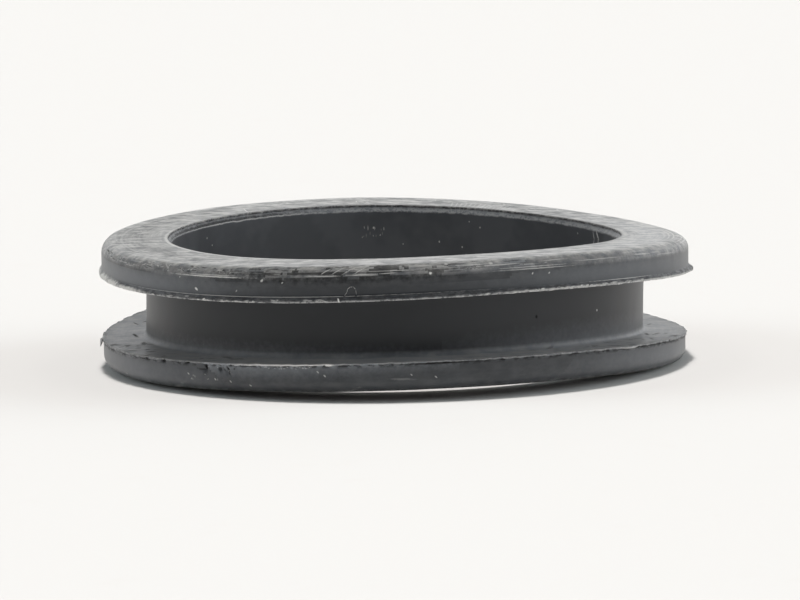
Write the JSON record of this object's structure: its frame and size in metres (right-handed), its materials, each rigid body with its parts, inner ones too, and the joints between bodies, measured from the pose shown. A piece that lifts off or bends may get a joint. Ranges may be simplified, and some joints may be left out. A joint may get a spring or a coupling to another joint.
{
  "type": "rubber grommet",
  "caption": "Round rubber panel grommet: flat flanges with rounded shoulders on both sides of a deep groove for a panel edge, and a plain through bore.",
  "frame": {"origin": "centre of the lower flange's flat outer face, on the bore axis", "axes": "+Z along the bore axis, from the lower flange up to the flange with the wider flash and the torn bore rim; the ring is round about +Z, so +X and +Y are free"},
  "size_m": [0.0768, 0.0768, 0.0157],
  "materials": {
    "black_rubber": "moulded matte black rubber with a greyish bloom, pale scuffs on the faces and pale torn flash edges"
  },
  "bodies": {
    "root": {"grommet": "black_rubber"}
  },
  "joints": []
}
